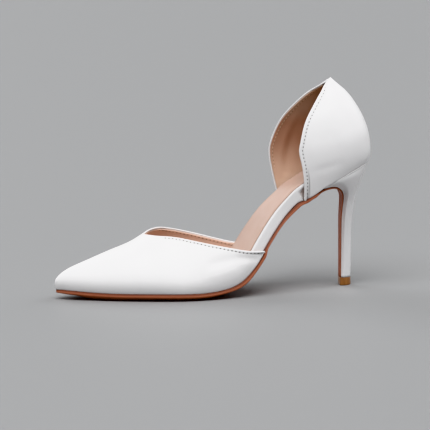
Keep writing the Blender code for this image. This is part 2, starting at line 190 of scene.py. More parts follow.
# How much lower than its plain layer the shown sole lies along its lateral edge: the turned-in leather of
# an upper pushes it out at the vamp's end and at the counter's front corner, and it draws in between them.
SOLE_STEPS = (
    # behind, upper face, lower face
    (112.0, 0.0, 0.0),
    (136.0, 0.0, 1.0),
    (145.5, 0.0, 1.2),
    (150.0, -0.27, -0.7),
    (158.0, -0.27, -0.7),
    (174.0, 0.0, 0.6),
    (180.0, 2.0, 2.1),
    (184.0, 1.8, 1.8),
    (196.0, 0.0, 0.0),
)

# Arched sections of the vamp: the ridge of the last, and how square each side's arch is.
VAMP_SECTIONS = (
    # behind, ridge height, ridge across, lateral square, medial square
    (0.0, 10.8, 0.0, 2.0, 2.0),
    (2.0, 15.2, 0.1, 2.0, 2.0),
    (6.7, 19.2, 0.4, 2.0, 2.0),
    (12.4, 22.2, 0.7, 2.0, 2.0),
    (25.7, 27.2, 1.6, 2.0, 2.0),
    (34.6, 30.5, 2.3, 2.0, 2.0),
    (46.0, 34.5, 3.2, 2.0, 2.0),
    (57.0, 38.5, 4.2, 1.95, 2.05),
    (65.3, 43.0, 5.0, 1.8, 2.1),
    (73.0, 47.4, 5.0, 1.7, 2.2),
    (84.0, 52.4, 5.0, 1.6, 2.2),
    (92.0, 55.2, 4.6, 1.6, 2.2),
    (104.0, 58.8, 4.0, 1.7, 2.2),
    (116.0, 62.2, 3.0, 1.8, 2.1),
    (128.0, 65.5, 1.0, 1.9, 2.0),
    (147.0, 70.5, -3.0, 2.0, 2.0),
)

# The height at which the topline cuts each side of the vamp, from the throat to where it meets the sole.
TOPLINE = (
    # behind, lateral, medial
    (65.3, 43.0, 43.0),
    (68.6, 43.5, 44.6),
    (73.0, 43.8, 45.7),
    (78.0, 43.8, 45.9),
    (84.0, 43.5, 44.9),
    (92.0, 42.3, 42.9),
    (104.0, 39.9, 39.6),
    (116.0, 37.3, 36.2),
    (128.0, 34.7, 32.9),
    (136.0, 33.0, 30.7),
    (140.4, 32.3, 29.6),
    (146.8, 31.8, 28.4),
)

# Levels of the counter from its feather line to its peak: the back point and each front edge.
COUNTER_LEVELS = (
    # back, back height, fullness, lateral front, height, half width, medial front, height, half width
    (227.9, 89.4, 23.4, 179.0, 66.0, 20.2, 166.5, 58.4, 19.0),
    (229.7, 94.0, 23.8, 179.1, 76.0, 20.6, 163.9, 71.0, 20.2),
    (230.0, 100.5, 23.8, 177.8, 89.0, 20.8, 161.2, 86.0, 21.4),
    (229.2, 108.0, 23.2, 175.9, 99.4, 20.4, 160.3, 97.0, 21.8),
    (227.4, 115.5, 22.0, 177.2, 107.0, 19.6, 162.6, 106.0, 21.2),
    (222.9, 126.0, 19.0, 181.2, 120.0, 16.8, 169.2, 119.6, 18.8),
    (215.4, 137.6, 13.6, 188.4, 132.0, 12.0, 179.5, 131.8, 13.2),
    (209.0, 144.0, 9.0, 193.6, 139.4, 8.0, 188.0, 139.6, 8.6),
    (202.8, 149.6, 2.6, 200.8, 148.2, 2.2, 200.2, 148.2, 2.2),
)

# The outsole's outer face where it turns down the front of the heel.
BREAST_PATH = (
    # behind, height, half width, thickness
    (191.0, 70.0, 20.4, 2.0),
    (197.0, 71.5, 19.4, 2.0),
    (201.8, 71.4, 16.4, 1.9),
    (205.6, 69.4, 12.6, 1.7),
    (207.7, 65.6, 9.4, 1.3),
    (207.8, 60.5, 7.4, 1.1),
    (207.0, 52.6, 6.1, 0.9),
    (206.4, 40.0, 5.2, 0.8),
    (205.9, 22.0, 4.6, 0.8),
    (205.4, 6.0, 4.3, 0.8),
)

# Sections of the heel from its seat down: its front follows the outsole's breast strip.
HEEL_SECTIONS = (
    # back, back height, fullness
    (227.5, 89.0, 23.0),
    (226.3, 86.2, 22.0),
    (224.9, 82.6, 20.2),
    (222.9, 78.0, 17.6),
    (220.8, 72.8, 14.8),
    (219.2, 67.8, 12.4),
    (217.6, 61.6, 10.4),
    (216.2, 52.8, 8.4),
    (215.1, 40.0, 6.7),
    (214.3, 22.0, 5.6),
    (213.6, 6.0, 5.0),
)


def steps(count):
    return np.linspace(0.0, 1.0, count + 1)


def ease(share):
    share = np.clip(share, 0.0, 1.0)
    return share * share * (3.0 - 2.0 * share)


def column(table, index):
    return np.array([row[index] for row in table], float)


def spline(keys, values):
    """A natural cubic spline through the given points, held level beyond its ends."""
    count = len(keys)
    widths = np.diff(keys)
    rises = np.diff(values) / widths
    system = np.eye(count)
    turn = np.zeros(count)
    for i in range(1, count - 1):
        system[i, i - 1:i + 2] = widths[i - 1], 2.0 * (widths[i - 1] + widths[i]), widths[i]
        turn[i] = 6.0 * (rises[i] - rises[i - 1])
    bend = np.linalg.solve(system, turn)

    def value(at):
        at = np.clip(at, keys[0], keys[-1])
        i = np.clip(np.searchsorted(keys, at, side="right") - 1, 0, count - 2)
        right = at - keys[i]
        left = keys[i + 1] - at
        curve = (bend[i] * left ** 3 + bend[i + 1] * right ** 3) / (6.0 * widths[i])
        start = (values[i] / widths[i] - bend[i] * widths[i] / 6.0) * left
        end = (values[i + 1] / widths[i] - bend[i + 1] * widths[i] / 6.0) * right
        return curve + start + end

    return value


def table_spline(table, index):
    return spline(column(table, 0), column(table, index))


def bow_spline(table, index):
    """A table's spline that rounds off at the toe as a square root does."""
    curve = spline(np.sqrt(column(table, 0)), column(table, index))
    return lambda behind: curve(np.sqrt(np.maximum(behind, 0.0)))


def eased_table(table, index):
    """A table followed with level starts and ends between its rows, so it never overshoots."""
    keys = column(table, 0)
    values = column(table, index)

    def value(at):
        i = np.clip(np.searchsorted(keys, at, side="right") - 1, 0, len(keys) - 2)
        share = ease((at - keys[i]) / (keys[i + 1] - keys[i]))
        return values[i] + share * (values[i + 1] - values[i])

    return value


def row_splines(table):
    """One spline for each column of a table whose rows are evenly spaced from 0 to 1."""
    keys = steps(len(table) - 1)
    return [spline(keys, column(table, index)) for index in range(len(table[0]))]


profile = table_spline(PROFILE, 1)
sole_edge = eased_table(PROFILE, 2)
arch_lead = eased_table(ARCH_LEAD, 1)
board_thickness = eased_table(BOARD_THICKNESS, 1)
tread_crown = eased_table(TREAD_CROWN, 1)
upper_step = eased_table(SOLE_STEPS, 1)
lower_step = eased_table(SOLE_STEPS, 2)
front_outline = {"lateral": bow_spline(OUTLINE, 1), "medial": bow_spline(OUTLINE, 2)}
ridge_height = bow_spline(VAMP_SECTIONS, 1)
ridge_across = table_spline(VAMP_SECTIONS, 2)
squareness = {"lateral": table_spline(VAMP_SECTIONS, 3), "medial": table_spline(VAMP_SECTIONS, 4)}
topline = {"lateral": table_spline(TOPLINE, 1), "medial": table_spline(TOPLINE, 2)}
counter_levels = row_splines(COUNTER_LEVELS)
breast_path = row_splines(BREAST_PATH)
heel_sections = row_splines(HEEL_SECTIONS)


def side_bend(back, front, fullness, width, count, crowding=1.0):
    """The plan of one side of a heel section, from its back point round and forward to its front edge."""
    rounding = min(ROUND_LENGTH * fullness, ROUND_SHARE * (back - front))
    turn = back - rounding
    angle = 0.5 * math.pi * steps(count)
    bent_behind = turn + rounding * np.cos(angle)
    bent_across = fullness * np.sin(angle)
    straight = 1.0 - (1.0 - steps(count)[1:]) ** crowding
    straight_behind = turn + (front - turn) * straight
    straight_across = fullness + (width - fullness) * ease(straight)
    behind = np.concatenate([bent_behind, straight_behind])
    return behind, np.concatenate([bent_across, straight_across])


def counter_edges(level, side):
    """The back point, fullness and front edge of the counter at one level."""
    first = 3 if side == "lateral" else 6
    back, back_height, fullness = (float(curve(level)) for curve in counter_levels[:3])
    front, front_height, width = (float(curve(level)) for curve in counter_levels[first:first + 3])
    return back, back_height, fullness, front, front_height, width


def seat_curve(side):
    back, _, fullness, front, _, width = counter_edges(0.0, side)
    behind, across = side_bend(back, front, fullness, width, SEAT_STEPS)
    return behind[::-1], across[::-1]


SEAT = {side: seat_curve(side) for side in SIGN}


def half_width(behind, side):
    """The feather line's half width on one side, from the toe to the back of the heel."""
    at_heel = np.interp(behind, *SEAT[side])
    return np.where(behind > COUNTER_FRONT[side], at_heel, front_outline[side](behind))


def inset_width(behind, side, inset):
    """The half width of an outline drawn inside the feather line."""
    reach = 0.5
    slope = (half_width(behind + reach, side) - half_width(behind - reach, side)) / (2.0 * reach)
    return half_width(behind, side) - inset * np.sqrt(1.0 + slope * slope)


def lift_angle(key):
    """How far a layer leans forward as it rises from one rib."""
    reach = 1.0
    slope = (profile(key + reach) - profile(key - reach)) / (2.0 * reach)
    return math.atan(slope) * (1.0 - ease((key - UPRIGHT_START) / UPRIGHT_LENGTH))


RIB_KEYS = np.linspace(0.0, HEEL_BACK, RIB_COUNT)
MEDIAL_KEYS = RIB_KEYS - arch_lead(RIB_KEYS)


def feather_height(behind, side):
    """The height of the sole's upper face at the feather line."""
    if side == "lateral":
        return profile(behind)
    return profile(np.interp(behind, MEDIAL_KEYS, RIB_KEYS))


def waist(behind, side):
    """1 along the open waist, 0 under the counter and most of the vamp."""
    into = (behind - VAMP_END[side] + WAIST_LEAD) / (WAIST_LEAD + STEP_LENGTH)
    out = (COUNTER_FRONT[side] - behind) / STEP_LENGTH
    return ease(min(into, out))


def lateral_place(behind, side):
    """The place on the lateral side that lies alike between the vamp's end and the counter's front."""
    marks = [(0.0, VAMP_END[name], COUNTER_FRONT[name], LENGTH) for name in (side, "lateral")]
    return np.interp(behind, *marks)


def sole_drop(places, share, down):
    """How far a point of the sole lies below its plain layer, between the given places on the two edges."""
    lateral, medial = (
        upper_step(at) + down * (lower_step(at) - upper_step(at))
        for at in (lateral_place(behind, side) for side, behind in places)
    )
    return lateral + share * (medial - lateral)


def rib_sides(key):
    """Where one rib of the bottom meets the two feather lines, which are at one height there."""
    return ("lateral", key), ("medial", key - arch_lead(key))


def rib_point(key, share, insets, lift):
    """A point over one rib; share runs from the lateral to the medial edge of the inset outline."""
    (_, near), (_, far) = rib_sides(key)
    left = -half_width(near, "lateral")
    right = half_width(far, "medial")
    lateral = min(-inset_width(near, "lateral", insets[0]), -LEAST_HALF_WIDTH)
    medial = max(inset_width(far, "medial", insets[1]), LEAST_HALF_WIDTH)
    across = lateral + share * (medial - lateral)
    angle = lift_angle(key)
    behind = near + (far - near) * (across - left) / (right - left) - lift * math.sin(angle)
    return behind, across, profile(key) + lift * math.cos(angle)


# Leather, lining, folds and stitch lines of the upper.
LEATHER = 1.1
LINING_DEPTH = 1.15
LINING = 0.7
LINING_SETBACK = 0.9
LINING_LEVELS = (0.03, 0.955)
LINING_TOE = 2.4
BOWED_LEVELS = 0.3
# Painted shade on the counter's lining: where it starts and rises, how dark it gets, and where it fades
# near the peak.
LINING_PALE_HEIGHT = 72.0
LINING_SHADE_RISE = 38.0
LINING_SHADE = 0.85
LINING_TOP_HEIGHT = 114.0
LINING_TOP_RISE = 18.0
FOLD_DROP = 0.5
FOLD_EASE = 9.0
EDGE_TURNS = 6
FOOT_TUCK = {"vamp": 2.6, "counter": 3.0}
TUCK_REACH = {"vamp": 12.0, "counter": 28.0}
TUCK_BREADTH = {"vamp": 7.0, "counter": 23.4}
TOE_TURN = 10.0
TOE_TURN_SHARE = 0.4
# Painted shade: how much darker an upper's leather is painted along its foot.
FOOT_SHADE = 0.16
END_FADE = 14.0
PEAK_PINCH = 0.8
BACK_PINCH_LEVELS = 0.035
EDGE_PINCH_LEVELS = 0.12
PEAK_HEIGHT = 149.6
PEAK_PLAIN = 5.0
PEAK_FADE = 7.0
THROAT_PLAIN = 11.0
THROAT_FADE = 14.0
STITCH_INSET = {"vamp": 1.45, "counter": 2.1}
STITCH_PITCH = {"vamp": 2.7, "counter": 2.6}
STITCH_TROUGH = 0.14
# Painted shade in the stitch trough: its least darkness, full towards the vamp's ends and the counter's
# foot.
TROUGH_SHADE = 0.12
END_TROUGH = 0.5
END_REACH = 16.0
TROUGH_WIDTH = 0.7
EDGE_CLEARANCE = 0.75
FOOT_CLEARANCE = 0.6
FOLD_PUFF = 0.14
CREASE_STEPS = 60
CREASE_ENDS = 0.7

# Half length, half width and half height of a stitch's thread and of the dark bead after it, painted as the
# needle hole's shade.
THREAD = (0.8, 0.25, 0.18)
THREAD_SUNK = 0.03
HOLE_SHADE = {"vamp": (0.58, 0.55, 0.2), "counter": (0.58, 0.4, 0.1)}
BEAD_SIDES = 8
BEAD_SLICES = 7

# How the shown bottom differs from the plain layers: the sole's edge lies under the tucked upper, the sock
# reaches the lining inside the vamp, and the board's side turns in before it enters the counter.
SOLE_TUCK = 2.3
SOLE_TIP = 1.5
SEAT_NARROWING = 2.9
SEAT_BOW = 1.1
SEAT_BOW_SHARE = 0.35
NARROW_SHARE = 0.75
NARROW_POWER = 1.2
SOCK_REACH = 2.1
SOCK_REACH_END = 137.0
SOCK_REACH_EASE = 16.0
SOCK_SEAT = 0.05
SOCK_FRONT = 9.0
SOCK_BACK = 226.6
BREAST_TINT = 0.7
BREAST_FADE = 0.12
NOTCH_DEPTH = 3.1
NOTCH_FOOT = 0.9
NOTCH_LEAN = 6.0
NOTCH_RIM = 0.2
NOTCH_RIM_EASE = 0.15
BREAST_THINNING = 0.35
THINNING_SHARE = 0.08
FULL_EDGE = 2.0

# Least sizes, which keep the thin ends of the shapes sound.
LEAST_HALF_WIDTH = 0.05
LEAST_CUT = 0.002
LEAST_LENGTH = 1e-9

# How many steps each shown surface is divided into.
SIDE_STEPS = 48
SIDE_CROWDING = 1.7
FRONT_STEPS = 66
TOE_CROWDING = 1.7
REAR_STEPS = 84
THROAT_CROWDING = 1.5
BEND_STEPS = 52
FRONT_CROWDING = 1.6
LEVEL_STEPS = 96
RIB_SPACING = 0.75
TOE_RIB_STEP = 0.14
TOE_RIBS = 12
RIB_STEPS = 26
BREAST_STEPS = 90
HEEL_STEPS = 110
HEEL_BEND_STEPS = 20
HEEL_FRONT_STEPS = 10
HEEL_LIP_STEPS = 2

# Edge profiles: how far inside the outline, and what share of the thickness down from the upper face.
SOCK_EDGE = (
    # into, down
    (2.8, 0.0),
    (2.1, 0.0),
    (1.7, 0.03),
    (1.45, 0.18),
    (1.25, 0.24),
    (1.05, 0.16),
    (0.8, 0.0),
    (0.5, -0.04),
    (0.22, 0.05),
    (0.05, 0.25),
    (0.0, 0.55),
    (0.12, 0.9),
    (0.5, 1.0),
)
BOARD_EDGE = (
    # into, down
    (1.6, 0.0),
    (1.2, -0.02),
    (0.8, -0.03),
    (0.45, -0.01),
    (0.2, 0.04),
    (0.05, 0.1),
    (0.0, 0.18),
    (0.05, 0.35),
    (0.12, 0.6),
    (0.15, 0.85),
    (0.3, 0.96),
    (0.8, 1.0),
)
SOLE_EDGE = (
    # into, down
    (1.6, 0.0),
    (0.7, 0.0),
    (0.25, 0.03),
    (0.16, 0.12),
    (0.14, 0.34),
    (0.04, 0.42),
    (0.0, 0.5),
    (0.0, 0.72),
    (0.06, 0.88),
    (0.25, 0.97),
    (0.7, 1.0),
)


def ridden(surface, name, material, slot, *nodes):
    """Make a shown piece, which moves with the shoe and stands for the named CAD nodes."""
    made = surface.make(name, material)
    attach(made, "root")
    if nodes:
        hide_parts(*nodes)
    return made


def in_frame(points):
    """Places on the last turned into the frame's metres."""
    return (np.array(points) - (LENGTH / 2.0, MIDDLE_ACROSS, 0.0)) * MM


class Surface:
    """Vertices and faces gathered row by row, in the last's millimetres."""

    def __init__(self):
        self.points = []
        self.faces = []
        self.shade_and_tint = []

    def add_row(self, points, shade_and_tint=0.0):
        first = len(self.points)
        self.points.extend(tuple(point) for point in points)
        added = len(self.points) - first
        self.shade_and_tint.extend(np.broadcast_to(shade_and_tint, (added,)).tolist())
        return list(range(first, len(self.points)))

    def bridge(self, first, second):
        """Faces between two rows of equal length, which may share corners."""
        for i in range(len(first) - 1):
            corners = dict.fromkeys([first[i], first[i + 1], second[i + 1], second[i]])
            if len(corners) > 2:
                self.faces.append(list(corners))

    def bridge_loop(self, first, second):
        self.bridge(first + first[:1], second + second[:1])

    def make(self, name, material):
        mesh = bpy.data.meshes.new(name)
        mesh.from_pydata(in_frame(self.points).tolist(), [], self.faces)
        mesh.shade_smooth()
        # The attribute carries painted shade on the white leathers, the heel and the counter lining, and
        # tint on the board and the sole.
        shade = mesh.attributes.new("shade_and_tint", "FLOAT", "POINT")
        shade.data.foreach_set("value", np.array(self.shade_and_tint, np.float32))
        mesh.materials.append(material)
        made = bpy.data.objects.new(name, mesh)
        bpy.context.scene.collection.objects.link(made)
        return made


def unit(vectors):
    length = np.linalg.norm(vectors, axis=-1, keepdims=True)
    return vectors / np.maximum(length, LEAST_LENGTH)


def vertex_normals(points, faces):
    """Normals of faces with three or four corners, summed at their corners."""
    corners = np.array([(face + face[-1:])[:4] for face in faces])
    first, second, third, fourth = (points[corners[:, k]] for k in range(4))
    facing = np.cross(third - first, fourth - second)
    normals = np.zeros_like(points)
    for k in range(4):
        np.add.at(normals, corners[:, k], facing)
    return unit(normals)


def boundary_ring(faces):
    """The vertices round an open surface, in the order of its own edges."""
    edges = {(face[i - 1], face[i]) for face in faces for i in range(len(face))}
    following = {start: end for start, end in edges if (end, start) not in edges}
    ring = [min(following)]
    while following[ring[-1]] != ring[0]:
        ring.append(following[ring[-1]])
    return ring


def ring_frame(points, faces):
    """The boundary ring, the normals of all points and the way out of the surface at the ring."""
    normals = vertex_normals(points, faces)
    ring = boundary_ring(faces)
    along = np.roll(points[ring], -1, axis=0) - np.roll(points[ring], 1, axis=0)
    return ring, normals, unit(np.cross(along, normals[ring]))


def rounded_sheet(points, faces, thickness, shade_and_tint):
    """A closed sheet whose outer face is given, with every edge turned round as a fold is."""
    ring, normals, outward = ring_frame(points, faces)
    surface = Surface()
    surface.add_row(points, shade_and_tint)
    surface.faces.extend(faces)
    radius = 0.5 * thickness
    rows = [ring]
    for turn in math.pi * steps(EDGE_TURNS)[1:-1]:
        out = outward * radius * math.sin(turn)
        rows.append(surface.add_row(points[ring] + out - normals[ring] * radius * (1.0 - math.cos(turn))))
    inner = surface.add_row(points - normals * thickness)
    surface.faces.extend([inner[i] for i in reversed(face)] for face in faces)
    rows.append([inner[i] for i in ring])
    for before, after in zip(rows, rows[1:]):
        surface.bridge_loop(after, before)
    return surface


def nearest(points, line):
    """For each point, which point of a closely spaced line is the nearest, and how far it is."""
    tree = KDTree(len(line))
    for i, place in enumerate(line):
        tree.insert(place, i)
    tree.balance()
    found = [tree.find(point) for point in points]
    return np.array([hit[1] for hit in found]), np.array([hit[2] for hit in found])


def distances(points, line):
    return nearest(points, line)[1]


def bump_over(distance, middle, width):
    return np.exp(-((distance - middle) / width) ** 2)


def near_foot(points, foot, name):
    """1 along an upper's foot, falling to 0 where its turned-in part begins."""
    return np.maximum(1.0 - distances(points, points[foot]) / TUCK_REACH[name], 0.0) ** 2


def from_vamp_end(points, length):
    """0 at the vamp's ends at the waist, 1 farther than a length in front of them."""
    ends = np.where(points[:, 1] < 0.0, VAMP_END["lateral"], VAMP_END["medial"])
    return ease((ends - points[:, 0]) / length)


def turn_in(points, foot, name):
    """Turn the lowest part of an upper in under itself, as leather pulled over a last is.

    The vamp is turned in less and less towards its ends at the waist.
    """
    share = from_vamp_end(points, END_FADE) if name == "vamp" else 1.0
    pull = share * FOOT_TUCK[name] * near_foot(points, foot, name)
    moved = np.array(points)
    moved[:, 0] += TOE_TURN_SHARE * pull * ease(1.0 - points[:, 0] / TOE_TURN)
    moved[:, 1] -= pull * np.clip(points[:, 1] / TUCK_BREADTH[name], -1.0, 1.0)
    return moved


def press_stitch_trough(points, faces, edge, extra, inset):
    """Sink a trough where the stitches run, puff out the fold beside it, and say how dark its painted shade
    is.
    """
    normals = vertex_normals(points, faces)
    distance = distances(points, points[edge])
    sewn = ease((PEAK_HEIGHT - PEAK_PLAIN - points[:, 2]) / PEAK_FADE)
    sewn = sewn * ease((points[:, 0] - THROAT) / THROAT_FADE)
    line = sewn * bump_over(distance, inset, TROUGH_WIDTH)
    puff = FOLD_PUFF * sewn * bump_over(distance, 0.5 * inset, 0.5 * inset)
    shade = line * (TROUGH_SHADE + (1.0 - TROUGH_SHADE) * extra / END_TROUGH)
    return points + normals * (puff - (STITCH_TROUGH + extra) * line)[:, None], shade


def press_creases(points, faces, creases):
    """Sink or raise soft lines, and say how dark their painted shade is.

    Each crease is a depth, a width, a darkness of painted shade and the points that it passes near.
    """
    normals = vertex_normals(points, faces)
    tree = BVHTree.FromPolygons(points.tolist(), faces)
    moved = np.array(points)
    shade = np.zeros(len(points))
    for depth, width, painted_darkness, path in creases:
        share = steps(len(path) - 1)
        curves = [spline(share, np.array([point[i] for point in path], float)) for i in range(3)]
        along = steps(CREASE_STEPS)
        line = [tree.find_nearest(Vector([float(curve(at)) for curve in curves]))[0] for at in along]
        which, distance = nearest(points, line)
        pressed = np.sin(math.pi * along[which]) ** CREASE_ENDS * bump_over(distance, 0.0, width)
        moved -= normals * (depth * pressed)[:, None]
        shade += painted_darkness * pressed
    return moved, shade


def vamp_row(behind, side, shares, drop):
    """One section of the last's front on one side, from the feather line to the topline or ridge."""
    edge = SIGN[side] * max(half_width(behind, side) - FEATHER_STEP, 0.0)
    foot = feather_height(behind, side) + FEATHER_GAP
    middle = ridge_across(behind)
    rise = ridge_height(behind) - foot
    power = 2.0 / squareness[side](behind)
    last = 0.5 * math.pi
    if behind > THROAT:
        at_end = ease((VAMP_END[side] - behind) / END_FADE)
        lowered = drop * at_end * ease((behind - THROAT) / FOLD_EASE)
        cut = (topline[side](behind) - lowered - foot) / rise
        last = math.asin(min(max(cut, LEAST_CUT) ** (1.0 / power), 1.0))
    angle = last * shares
    across = middle + (edge - middle) * np.maximum(np.cos(angle), 0.0) ** power
    height = foot + rise * np.sin(angle) ** power
    return np.stack([np.full_like(shares, behind), across, height], axis=-1)


def vamp_grid(drop, setback):
    """The vamp's outer face, its topline from the lateral end round the throat, and its foot."""
    surface = Surface()
    shares = 1.0 - (1.0 - steps(SIDE_STEPS)) ** SIDE_CROWDING
    front = THROAT * steps(FRONT_STEPS)[1:] ** TOE_CROWDING
    stem = surface.add_row(vamp_row(0.0, "lateral", shares, drop))
    ridge = surface.add_row([vamp_row(behind, "lateral", shares, drop)[-1] for behind in front])
    edges = {}
    feet = []
    for side in SIGN:
        rows = [stem]
        for behind, top in zip(front, ridge):
            rows.append(surface.add_row(vamp_row(behind, side, shares[:-1], drop)) + [top])
        for part in steps(REAR_STEPS)[1:]:
            behind = THROAT + (VAMP_END[side] - setback - THROAT) * part ** THROAT_CROWDING
            rows.append(surface.add_row(vamp_row(behind, side, shares, drop)))
        for toward_toe, toward_heel in zip(rows, rows[1:]):
            if side == "lateral":
                surface.bridge(toward_heel, toward_toe)
            else:
                surface.bridge(toward_toe, toward_heel)
        edges[side] = [row[-1] for row in rows[len(front):]]
        feet += [row[0] for row in rows]
    return np.array(surface.points), surface.faces, edges["lateral"][::-1] + edges["medial"][1:], feet


def straight_level(level, side, behind):
    """The height of one level of the counter, straight from its back to its front edge."""
    back, back_height, _, front, front_height, _ = counter_edges(level, side)
    return back_height + (front_height - back_height) * (back - behind) / (back - front)


def peak_pinch(level, levels):
    """What is left of the counter's width over its uppermost levels, where it closes to a peak."""
    return 1.0 - PEAK_PINCH * ease(1.0 - (1.0 - level) / levels)


def counter_side(level, side, inset):
    """One side of one level of the counter, from the back round to its front edge."""
    back, _, fullness, front, _, width = counter_edges(level, side)
    fullness *= peak_pinch(level, BACK_PINCH_LEVELS)
    width *= peak_pinch(level, EDGE_PINCH_LEVELS)
    behind, across = side_bend(back, front + inset, fullness, width, BEND_STEPS, FRONT_CROWDING)
    over_heel = ease((behind - SOLE_SHANK_END) / STEP_LENGTH - 1.0)
    foot = feather_height(behind, side) + FEATHER_GAP - SEAT_CLOSING * over_heel
    foot = foot - upper_step(lateral_place(behind, side))
    bowed = ease(1.0 - level / BOWED_LEVELS) * (foot - straight_level(0.0, side, behind))
    return np.stack([behind, SIGN[side] * across, straight_level(level, side, behind) + bowed], axis=-1)


def counter_grid(inset, low, top):
    """The counter's outer face, its edge from the lateral foot over the peak, and its foot."""
    surface = Surface()
    rows = []
    for level in low + (top - low) * steps(LEVEL_STEPS):
        lateral = counter_side(level, "lateral", inset)
        medial = counter_side(level, "medial", inset)
        rows.append(surface.add_row(np.concatenate([lateral[::-1], medial[1:]])))
    for below, above in zip(rows, rows[1:]):
        surface.bridge(below, above)
    edge = [row[0] for row in rows[:-1]] + rows[-1] + [row[-1] for row in rows[-2::-1]]
    return np.array(surface.points), surface.faces, edge, rows[0]


def stitch_path(points, faces, edge, foot, depth, inset):
    """The line of stitches beside an edge, with the face's normals along it; depth 0 is the outer face.

    Places that come too near another stretch of the edge, or too near the foot, are left out.
    """
    ring, normals, outward = ring_frame(points, faces)
    way_out = dict(zip(ring, outward))
    sunk = points - normals * depth
    tree = BVHTree.FromPolygons(sunk.tolist(), faces)
    flip = -1.0 if depth else 1.0
    places = []
    facings = []
    for i in edge:
        place, facing, _, _ = tree.find_nearest(Vector(sunk[i] - way_out[i] * inset))
        places.append(place)
        facings.append(facing * flip)
    clear = distances(places, sunk[edge]) > EDGE_CLEARANCE * inset
    clear &= distances(places, sunk[foot]) > FOOT_CLEARANCE
    return np.array(places)[clear], np.array(facings)[clear]


def resample(line, values, pitch):
    """Points at a steady pitch along a line, with values carried along, and the line's direction there."""
    travelled = np.concatenate([[0.0], np.cumsum(np.linalg.norm(np.diff(line, axis=0), axis=1))])
    count = int(travelled[-1] / pitch)
    stops = travelled[-1] * (np.arange(count) + 0.5) / count

    def at(distance, data):
        return np.stack([np.interp(distance, travelled, data[:, k]) for k in range(3)], axis=-1)

    reach = 0.4
    return at(stops, line), unit(at(stops, values)), unit(at(stops + reach, line) - at(stops - reach, line))


def add_beads(surface, places, facings, directions, size, sunk):
    """A small rounded bead at each place: its half length, half width and half height."""
    around = 2.0 * math.pi * np.arange(BEAD_SIDES) / BEAD_SIDES
    slices = np.linspace(-1.0, 1.0, BEAD_SLICES)
    for place, facing, along in zip(places, facings, directions):
        aside = np.cross(facing, along)
        rows = []
        for share in slices:
            bulge = max(1.0 - share * share, 0.0) ** 0.5
            middle = place + along * size[0] * share - facing * sunk
            ring = np.outer(np.cos(around) * size[1] * bulge, aside)
            rows.append(surface.add_row(middle + ring + np.outer(np.sin(around) * size[2] * bulge, facing)))
        for before, after in zip(rows, rows[1:]):
            surface.bridge_loop(before, after)


def make_stitches(name, runs, pitch, hole_shade_size, finishes, slot):
    """Threads and, between them, dark beads painted as the needle holes' shade, along runs of places and
    facings.
    """
    threads = Surface()
    hole_shades = Surface()
    for run in runs:
        places, facings, directions = resample(*run, pitch)
        add_beads(threads, places, facings, directions, THREAD, THREAD_SUNK)
        between = places[:-1] + directions[:-1] * 0.5 * pitch
        add_beads(hole_shades, between, facings[:-1], directions[:-1], hole_shade_size, 0.0)
    ridden(threads, name + "_threads", finishes[0], slot)
    ridden(hole_shades, name + "_hole_shades", finishes[1], slot)


VAMP_CREASES = (
    # depth, width, darkness of painted shade, points passed
    (0.65, 3.4, 0.0, (
        (104.0, -41.0, 27.0), (116.0, -39.0, 28.0), (130.0, -36.0, 29.0), (142.0, -33.0, 29.5),
    )),
    (-0.45, 3.8, 0.0, ((100.0, -42.0, 18.0), (114.0, -41.0, 20.0), (128.0, -38.0, 22.5))),
    (0.6, 2.8, 0.12, ((126.0, -37.0, 28.5), (139.0, -34.0, 27.8), (150.0, -31.0, 28.5))),
)
COUNTER_CREASES = (
    # depth, width, darkness of painted shade, points passed
    (0.25, 3.0, 0.0, ((183.0, -21.0, 84.0), (195.0, -23.0, 88.0), (208.0, -20.0, 92.0))),
    (0.3, 0.4, 0.8, (
        (182.4, -18.0, 63.5), (182.5, -19.0, 72.0), (182.2, -20.0, 80.0), (181.3, -20.6, 87.0),
    )),
    (0.3, 0.4, 0.8, ((169.8, 17.0, 57.0), (168.4, 18.5, 66.0), (166.6, 20.0, 74.0))),
)
LINING_CREASES = (
    # depth, width, darkness, points passed
    (0.5, 2.6, 0.0, (
        (167.0, 20.0, 76.0), (168.5, 20.5, 92.0), (173.0, 20.0, 108.0), (182.0, 16.0, 124.0),
    )),
    (-0.35, 2.6, 0.0, ((172.0, 21.0, 78.0), (173.5, 21.5, 93.0), (178.0, 20.0, 110.0))),
    (0.35, 3.2, 0.0, ((179.0, 21.5, 80.0), (181.0, 21.5, 98.0), (186.0, 19.5, 116.0))),
)


def end_trough(points, foot, name):
    """How much deeper a stitch line sinks, and how much darker its painted shade turns, towards the vamp's
    ends or the counter's foot.
    """
    if name == "vamp":
        return END_TROUGH * (1.0 - from_vamp_end(points, END_REACH))
    lowest = np.where(points[:, 1] < 0.0, *points[[foot[0], foot[-1]], 2])
    return END_TROUGH * ease(1.0 - (points[:, 2] - lowest) / END_REACH)


def is_sewn(point):
    """Whether an upper's edge is stitched at a place: not round the throat and not at the peak."""
    return point[0] > THROAT + THROAT_PLAIN and point[2] < PEAK_HEIGHT - PEAK_PLAIN


def add_stitches(name, points, faces, edges, foot, finishes, slot):
    """Stitches through folded edges, seen on the leather outside and on the lining inside."""
    inset = STITCH_INSET[name]
    pitch = STITCH_PITCH[name]
    outer = [stitch_path(points, faces, edge, foot, 0.0, inset) for edge in edges]
    inner = [stitch_path(points, faces, edge, foot, LINING_DEPTH + LINING, inset) for edge in edges]
    outside = (finishes["thread"], finishes["hole"])
    inside = (finishes["lining_thread"], finishes["lining_hole"])
    make_stitches(name + "_outer", outer, pitch, HOLE_SHADE[name], outside, slot)
    make_stitches(name + "_inner", inner, pitch, HOLE_SHADE["counter"], inside, slot)


def two_sides(points, edge):
    """An edge's lateral and medial stretches."""
    return [[i for i in edge if sign * points[i, 1] > 0.0] for sign in SIGN.values()]


